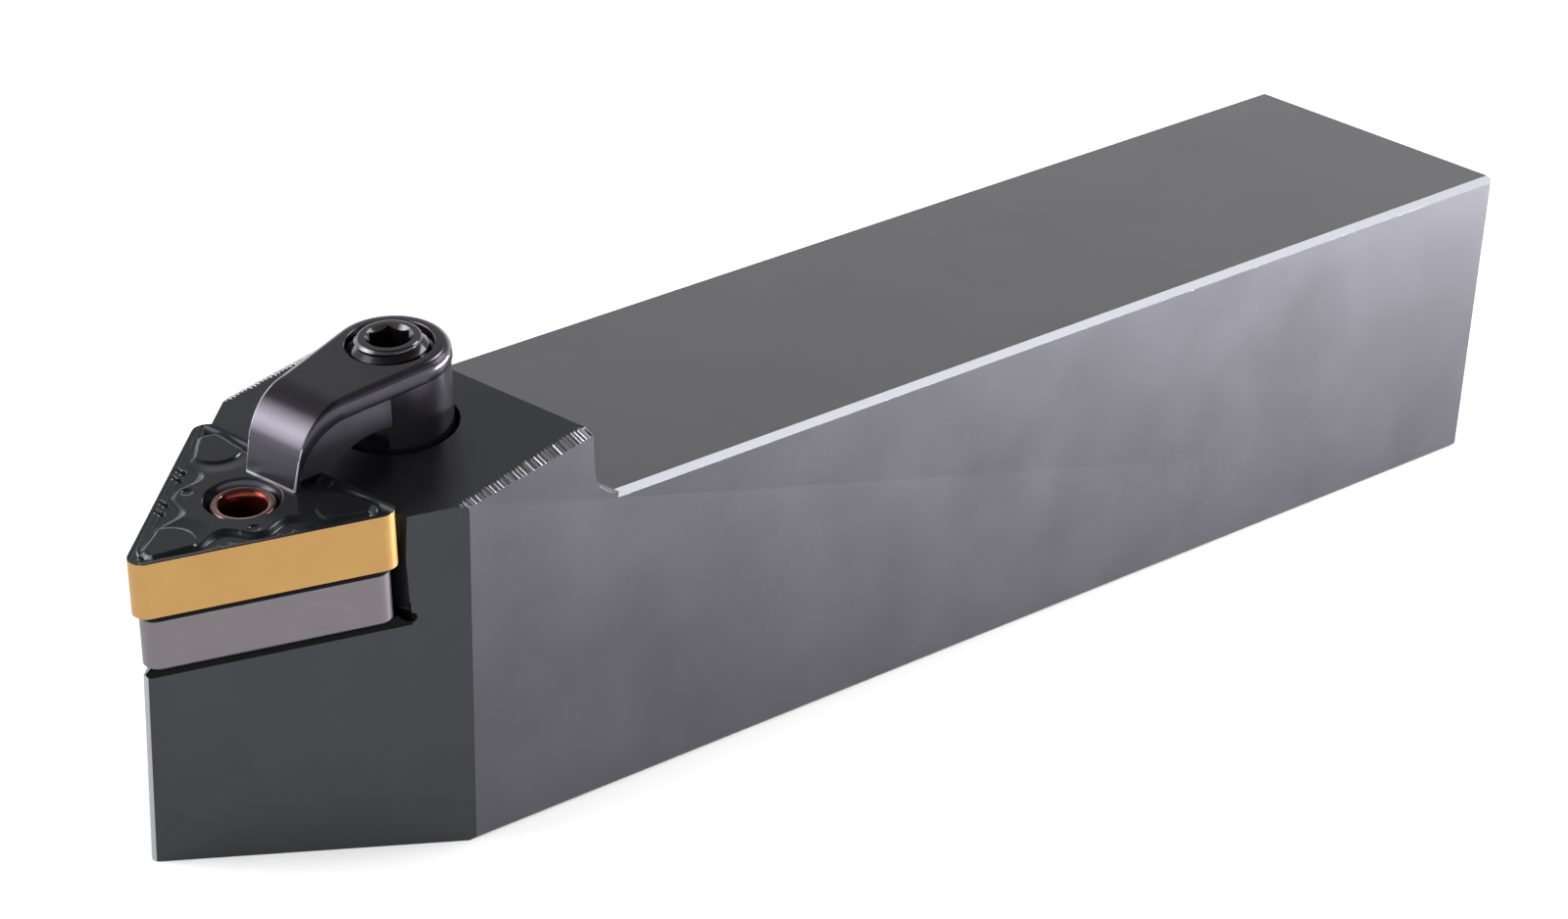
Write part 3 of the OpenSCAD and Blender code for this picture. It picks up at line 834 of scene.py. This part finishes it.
class TOOLHOLDER_OT_lock_pin(bpy.types.Operator):
    """Lock pin: turned head with a belled hexagon socket"""

    bl_idname = "toolholder.lock_pin"
    bl_label = "Lock pin"

    def execute(self, context):
        seat = PIN_SINK - INSERT_THICKNESS - COLLAR_SEAT
        # the hexagon, the belled bore over it, the rounded rim and the cone at the lower end
        across, key_depth = 2.5, 1.6
        bottom, bore, mouth = 2.9, 1.55, 2.15
        edge, point = 0.2, 0.6
        core = THREAD - point
        bell = [(bore + 0.5 * (1 - cos(a)), -1.6 + 1.55 * sin(a))
                for a in (radians(9 * i) for i in range(11))]
        rim = [(PIN_HEAD - edge + edge * sin(a), -edge + edge * cos(a))
               for a in (radians(15 * i) for i in range(7))]
        collar = [(PIN_HEAD, seat + COLLAR_HEIGHT), (PIN_COLLAR, seat + COLLAR_HEIGHT), (PIN_COLLAR, seat)]
        shank = [(core, seat), (core, point - PIN_LENGTH), (THREAD - 1.0, -PIN_LENGTH), (0, -PIN_LENGTH)]
        head = [(0, -bottom), (bore, -bottom)] + bell + [(mouth, 0)] + rim
        obj = turned("lock_pin_look", head + collar + shank)
        ridge = thread_ridge("pin_thread", seat - point, PIN_LENGTH + seat, PIN_PITCH)
        combine(ridge, turned("envelope", [
            (0, seat - 0.4), (core, seat - 0.4), (THREAD, seat - 1.0), (THREAD, point - PIN_LENGTH),
            (core, -PIN_LENGTH), (0, -PIN_LENGTH)]), "INTERSECT")
        combine(obj, ridge, "UNION")
        combine(obj, socket("pin_socket", across, -bottom, key_depth, 1.3), "DIFFERENCE")
        for face in obj.data.polygons:
            # the rim is painted brighter, as its sheen and glints
            at_rim = face.center.z > -0.3 * MM and face.center.xy.length > 2.0 * MM
            face.material_index = 1 if at_rim else 0
        into_place(obj, INSERT @ Matrix.Translation((0, 0, -PIN_SINK * MM)))
        finish = context.scene.holder_finish
        complete(obj, "lock_pin", "holder", "pin_steel", tempered_steel(finish.pin),
                 # brighter brown steel, painted sheen for the rim
                 tempered_steel(finish.pin_rim), angle=40)
        return {"FINISHED"}


def finger_side(x, inset=0.0):
    """Half the finger's width at a distance from the screw's axis, in millimetres."""
    radius = CLAMP_RADIUS - inset
    if x < radius * sin(FINGER_TAPER):
        return sqrt(max(radius ** 2 - x ** 2, 0))
    return radius / cos(FINGER_TAPER) - x * tan(FINGER_TAPER)


class TOOLHOLDER_OT_clamp(bpy.types.Operator):
    """Clamp: finger with a rounded flange over a web, on its leg"""

    bl_idname = "toolholder.clamp"
    bl_label = "Clamp"

    def execute(self, context):
        obj, web, leg = self.flange(context.scene.holder_sizes), self.web(), self.leg()
        for piece in (obj, web, leg):
            combine(piece, self.bore(), "DIFFERENCE")
        combine(obj, web, "UNION")
        combine(obj, leg, "UNION")
        clean(obj)
        for face in obj.data.polygons:
            face.material_index = self.finish_of(face)
        into_place(obj, CLAMP)
        finish = context.scene.holder_finish
        complete(obj, "clamp", "clamp", "clamp_steel",
                 black_oxide("black_oxide_steel", finish.clamp, 0.21),
                 # brighter steel for wear and a painted highlight along the nose's rounding
                 worn_and_highlit_steel("worn_edge_and_highlight_steel", finish.edge),
                 black_oxide("black_oxide_as_forged", finish.clamp, 0.5), angle=28)
        return {"FINISHED"}

    def finish_of(self, face):
        """The material slot of a face: 0 tumbled, 1 worn and painted highlight, 2 as forged."""
        x, y, z = face.center / MM
        if abs(abs(y) - finger_side(x, WEB_INSET)) < 0.02 and x > LEG_FRONT:
            return 2
        # the rounding along the nose, sooner on one side, and the edge of the nose's foot get brighter
        # steel: wear, with a painted highlight
        worn_from = BEND_START + (4.1 if y > 0 else 0.8)
        slanted = 0.2 < abs(face.normal.y) < 0.98 and face.normal.z + face.normal.x > 0
        at_side = slanted and abs(y) > finger_side(x) - 0.3
        at_foot = z < INSERT_RISE + 0.14 and face.normal.x > 0.5
        return 1 if x > worn_from and (at_side or at_foot) else 0

    def section(self, top, under, upper, lower):
        """The flange's rounded cross section at a station, as places in millimetres round its outline."""
        start = Vector((top[0], 0, top[1]))
        down = Vector((under[0] - top[0], 0, under[1] - top[1]))
        thick = down.length
        side = [(upper * (1 - sin(a)), upper * (1 - cos(a))) for a in (pi / 12 * i for i in range(7))]
        side += [(lower * (1 - cos(a)), thick - lower * (1 - sin(a)))
                 for a in (pi / 8 * i for i in range(5))]
        loop = [start]
        for sign, order in ((-1, side), (1, side[::-1])):
            for inward, drop in order:
                place = start + down * (drop / thick)
                place.y = sign * (finger_side(place.x) - inward)
                loop.append(place)
            if sign < 0:
                loop.append(start + down)
        return loop

    def stations(self, base):
        """The flange's upper and lower place at each cross section, from the screw to the nose's foot."""
        foot = INSERT_RISE + FOOT_GAP
        run = FINGER_REACH - NOSE_LIP - BEND_START
        turn = 2 * atan2(base - INSERT_RISE, run)
        inner = run / sin(turn)
        places = [((x, CLAMP_HEIGHT), (x, base)) for x in
                  (0.25, 0.5, CLAMP_RADIUS * sin(FINGER_TAPER), 3, 5.5, BEND_START)]
        steps = 24
        for i in range(1, steps + 1):
            # the underside bends on its own arc, which the nose cuts short
            a, b = NOSE_SLOPE * i / steps, 0.86 * turn * i / steps
            places.append(((BEND_START + BEND_RADIUS * sin(a), CLAMP_HEIGHT - BEND_RADIUS * (1 - cos(a))),
                           (BEND_START + inner * sin(b), base - inner * (1 - cos(b)))))
        (top_x, top_z), (under_x, under_z) = places[-1]
        for down in (0.92, 1):
            top = (top_x + (FINGER_REACH - top_x) * down, top_z + (foot - top_z) * down)
            under = (under_x + (BEND_START + run - under_x) * down, under_z + (foot - under_z) * down)
            places.append((top, under))
        return places

    def flange(self, sizes):
        """A section spun round the screw's axis, then extruded over the bend to the nose's foot."""
        base = CLAMP_HEIGHT - FLANGE_THICKNESS
        upper = sizes.clamp_edge / MM
        lower = 0.4 * upper
        last = self.section((0, CLAMP_HEIGHT), (0, base), upper, lower)
        obj = drawn("clamp_look", last[:len(last) // 2 + 1])
        pick_edges(obj, 1)
        bpy.ops.mesh.delete(type="EDGE")
        bpy.ops.mesh.select_all(action="SELECT")
        bpy.ops.mesh.spin(steps=64, angle=pi, center=(0, 0, 0), axis=(0, 0, 1))
        leave()
        clean(obj)
        pick_edges(obj, 0)
        for top, under in self.stations(base):
            # the rounding gets narrower towards the nose
            share = 1 - 0.8 * step((top[0] - BEND_START + 1) / (FINGER_REACH - BEND_START))
            places = self.section(top, under, upper * share, lower * share)
            bpy.ops.mesh.extrude_edges_move()
            leave()
            for vertex in obj.data.vertices:
                if vertex.select:
                    nearest = min(range(len(last)), key=lambda i: (last[i] * MM - vertex.co).length)
                    vertex.co = places[nearest] * MM
            last = places
            bpy.ops.object.mode_set(mode="EDIT")
        bpy.ops.mesh.edge_face_add()
        leave()
        clean(obj)
        return obj

    def bore(self):
        """The screw's hole with its countersink, as a tool to cut with."""
        mouth = BORE + 0.38
        return turned("bore", [
            (0, -6), (BORE, -6), (BORE, CLAMP_HEIGHT - 1.0), (mouth - 0.1, CLAMP_HEIGHT - 0.7),
            (mouth - 0.03, CLAMP_HEIGHT - 0.06), (mouth + 0.04, CLAMP_HEIGHT + 0.01),
            (mouth + 0.04, CLAMP_HEIGHT + 1), (0, CLAMP_HEIGHT + 1)])

    def web(self):
        """The web under the flange, from the leg over the arch to the nose's foot."""
        foot = INSERT_RISE + FOOT_GAP
        rear = LEG_FRONT - 0.3
        rise = foot - (ARCH_HEIGHT - ARCH_RADIUS)
        half = sqrt(ARCH_RADIUS ** 2 - rise ** 2)
        arch_x = FINGER_REACH - FOOT_LENGTH - half
        last = atan2(rise, half)
        first = atan2(sqrt(ARCH_RADIUS ** 2 - (rear - arch_x) ** 2), rear - arch_x)
        arch = [(arch_x + ARCH_RADIUS * cos(a), ARCH_HEIGHT - ARCH_RADIUS + ARCH_RADIUS * sin(a))
                for a in (first + (last - first) * i / 28 for i in range(29))]
        over = FLANGE_THICKNESS / 2
        outer = [(BEND_START + BEND_RADIUS * sin(a) - NOSE_LIP / 2,
                  max(CLAMP_HEIGHT - BEND_RADIUS * (1 - cos(a)) - over, foot))
                 for a in (NOSE_SLOPE * i / 12 for i in range(13))]
        loop = [(rear, CLAMP_HEIGHT - over)] + outer + [(FINGER_REACH - 0.7 * NOSE_LIP, foot)] + arch[::-1]
        obj = drawn("web", [(x, -1, z) for x, z in loop], fill_type="NGON")
        edit(obj, "SELECT")
        bpy.ops.mesh.extrude_region_move(TRANSFORM_OT_translate={"value": (0, 2 * MM, 0)})
        leave()
        for vertex in obj.data.vertices:
            side = finger_side(vertex.co.x / MM, WEB_INSET) * MM
            vertex.co.y = side if vertex.co.y > 0 else -side
        clean(obj)
        return obj

    def leg(self):
        """The leg: a round bar with a flat front."""
        top = CLAMP_HEIGHT - FLANGE_THICKNESS / 2
        bpy.ops.mesh.primitive_cylinder_add(vertices=128, radius=(CLAMP_RADIUS - 0.12) * MM,
                                            depth=(top + LEG_DEPTH) * MM,
                                            location=(0, 0, (top - LEG_DEPTH) / 2 * MM))
        obj = into_place(named("leg"), Matrix())
        edit(obj, "SELECT")
        bpy.ops.mesh.bisect(plane_co=(LEG_FRONT * MM, 0, 0), plane_no=(1, 0, 0), clear_outer=True,
                            use_fill=True, threshold=ON_PLANE)
        leave()
        return obj


class TOOLHOLDER_OT_clamp_screw(bpy.types.Operator):
    """Clamp screw: threaded at both ends, with a hexagon socket"""

    bl_idname = "toolholder.clamp_screw"
    bl_label = "Clamp screw"

    def execute(self, context):
        pitch = context.scene.holder_sizes.pitch / MM
        core = THREAD - 0.5 * pitch
        edge, point = 0.26, 0.3
        lower_thread = UPPER_THREAD + NECK_LENGTH
        rim = [(core - edge + edge * sin(a), -edge + edge * cos(a))
               for a in (radians(15 * i) for i in range(7))]
        obj = turned("clamp_screw_look", [(0, 0)] + rim + [
            (core, -UPPER_THREAD + core - NECK), (NECK, -UPPER_THREAD), (NECK, -lower_thread),
            (core, -lower_thread - core + NECK), (core, point - SCREW_LENGTH),
            (core - point, -SCREW_LENGTH), (0, -SCREW_LENGTH)])
        # each thread runs out in a cone of 45 degrees a little before its ends
        inner, start, full = core - 0.04, 0.13, 0.67
        for top, end in ((0, UPPER_THREAD), (-lower_thread, SCREW_LENGTH)):
            ridge = thread_ridge("screw_thread", top, end + top, pitch)
            combine(ridge, turned("envelope", [
                (0, top - start), (inner, top - start), (THREAD, top - full), (THREAD, full - end),
                (inner, start - end), (0, start - end)]), "INTERSECT")
            combine(obj, ridge, "UNION")
        combine(obj, socket("screw_socket", 3.0, 0, 3.5, 1.84), "DIFFERENCE")
        into_place(obj, CLAMP @ Matrix.Translation((0, 0, SCREW_TOP * MM)))
        complete(obj, "clamp_screw", "clamp_screw", "screw_steel",
                 oiled_steel(context.scene.holder_finish.screw), angle=35)
        return {"FINISHED"}


class TOOLHOLDER_OT_stage(bpy.types.Operator):
    """Pale floor, soft lights and the camera"""

    bl_idname = "toolholder.stage"
    bl_label = "Stage"

    def execute(self, context):
        stage = context.scene.holder_stage
        bpy.ops.mesh.primitive_plane_add(size=6, location=(0, 0, -0.02 * MM))
        floor = named("floor")
        material, tree = new_material("backlit_opal_acrylic")
        finish_material(tree, Base_Color=stage.floor, Roughness=0.9, Emission_Color=(1, 1, 1, 1),
                        Emission_Strength=stage.glow)
        floor.data.materials.append(material)
        self.studio(context, stage)
        self.lamps(context, stage)
        self.camera(context, stage)
        context.scene.view_settings.view_transform = "Standard"
        return {"FINISHED"}

    def lamps(self, context, stage):
        """The four lamps, set out from the head, in metres."""
        head = Vector((-0.045, 0, 0.025))
        # name, power, width, height, spread in degrees, place from the head and the way the back points
        for name, power, width, height, spread, place, back in (
                ("key", stage.key, 0.4, 0.4, 180, (0.65, -0.35, 0.52), (0.65, -0.35, 0.52)),
                ("side", stage.side, 0.2, 0.014, 90, (0.255, -0.142, -0.017), (0.84, -0.54, 0)),
                ("top", stage.top, 0.12, 0.12, 180, (0.345, 0.012, 0.497), (0.345, 0.012, 0.497)),
                ("left", stage.left, 0.3, 0.28, 180, (-0.18, 0.132, 0.06), (-0.44, 0.357, -0.824))):
            lamp = bpy.data.lights.new(name, "AREA")
            lamp.shape = "RECTANGLE"
            lamp.energy = power
            lamp.size = width
            lamp.size_y = height
            lamp.spread = radians(spread)
            obj = bpy.data.objects.new(name, lamp)
            context.collection.objects.link(obj)
            obj.location = head + Vector(place)
            obj.rotation_euler = Vector(back).to_track_quat("Z", "Y").to_euler()

    def camera(self, context, stage):
        """The camera, rolled a little, as the photograph was taken."""
        camera = bpy.data.cameras.new("camera")
        camera.lens = stage.lens
        camera.sensor_width = 36
        camera.clip_start = 0.01
        obj = bpy.data.objects.new("camera", camera)
        context.collection.objects.link(obj)
        place = Vector(CAMERA_PLACE) * MM
        back = place - Vector(CAMERA_AIM) * MM
        turn = back.to_track_quat("Z", "Y").to_matrix() @ Matrix.Rotation(CAMERA_ROLL, 3, "Z")
        obj.matrix_world = Matrix.Translation(place) @ turn.to_4x4()
        context.scene.camera = obj

    def studio(self, context, stage):
        """The studio: light at the horizon, dark overhead, with a soft glow behind the insert."""
        world = bpy.data.worlds.new("studio")
        context.scene.world = world
        world.use_nodes = True
        tree = world.node_tree
        tree.nodes.clear()
        way = add_node(tree, "ShaderNodeTexCoord").outputs["Generated"]
        up = add_node(tree, "ShaderNodeSeparateXYZ", {"Vector": way})
        sky = add_node(tree, "ShaderNodeMapRange",
                       {"Value": up.outputs["Z"], "From Min": 0.68, "From Max": 0.95,
                        "To Min": 0.53, "To Max": 0.05}, interpolation_type="SMOOTHSTEP")
        to_glow = Vector((-0.68, 0.63, 0.37)).normalized()
        across = add_node(tree, "ShaderNodeVectorMath", {0: way, 1: to_glow}, operation="DOT_PRODUCT")
        off = add_node(tree, "ShaderNodeMath", {0: across.outputs["Value"]}, operation="ARCCOSINE")
        glow = add_node(tree, "ShaderNodeMapRange",
                        {"Value": off.outputs["Value"], "From Min": 0.03, "From Max": radians(30),
                         "To Min": stage.back, "To Max": 0})
        low = add_node(tree, "ShaderNodeMapRange",
                       {"Value": up.outputs["Z"], "From Min": 0.3, "From Max": 0.4,
                        "To Min": 1.3, "To Max": 0})
        both = add_node(tree, "ShaderNodeMath", {0: sky.outputs["Result"], 1: low.outputs["Result"]})
        total = add_node(tree, "ShaderNodeMath", {0: both.outputs["Value"], 1: glow.outputs["Result"]})
        light = add_node(tree, "ShaderNodeBackground",
                         {"Color": (1, 1, 1, 1), "Strength": total.outputs["Value"]})
        add_node(tree, "ShaderNodeOutputWorld", {"Surface": light.outputs["Background"]})


class TOOLHOLDER_PT_panel(bpy.types.Panel):
    """Sidebar panel with the pieces"""

    bl_idname = "TOOLHOLDER_PT_panel"
    bl_label = "Turning tool holder"
    bl_space_type = "VIEW_3D"
    bl_region_type = "UI"
    bl_category = "Tool Holder"

    def draw(self, context):
        scene = context.scene
        for operator in PIECES:
            self.layout.operator(operator.bl_idname)
        for settings in (scene.holder_sizes, scene.holder_finish, scene.holder_stage):
            box = self.layout.box()
            for name in settings.__annotations__:
                box.prop(settings, name)


PIECES = (
    TOOLHOLDER_OT_holder_body,
    TOOLHOLDER_OT_shim,
    TOOLHOLDER_OT_insert,
    TOOLHOLDER_OT_lock_pin,
    TOOLHOLDER_OT_clamp,
    TOOLHOLDER_OT_clamp_screw,
    TOOLHOLDER_OT_stage,
)
CLASSES = (FinishSettings, SizeSettings, StageSettings) + PIECES + (TOOLHOLDER_PT_panel,)


def register():
    """Registers the settings, the pieces and the panel."""
    for item in CLASSES:
        bpy.utils.register_class(item)
    bpy.types.Scene.holder_finish = PointerProperty(type=FinishSettings)
    bpy.types.Scene.holder_sizes = PointerProperty(type=SizeSettings)
    bpy.types.Scene.holder_stage = PointerProperty(type=StageSettings)


def unregister():
    """Takes back what register did."""
    del bpy.types.Scene.holder_stage
    del bpy.types.Scene.holder_sizes
    del bpy.types.Scene.holder_finish
    for item in reversed(CLASSES):
        bpy.utils.unregister_class(item)


def main():
    """Makes every piece and the stage."""
    register()
    bpy.ops.toolholder.holder_body()
    bpy.ops.toolholder.shim()
    bpy.ops.toolholder.insert()
    bpy.ops.toolholder.lock_pin()
    bpy.ops.toolholder.clamp()
    bpy.ops.toolholder.clamp_screw()
    bpy.ops.toolholder.stage()


if __name__ == "__main__":
    main()
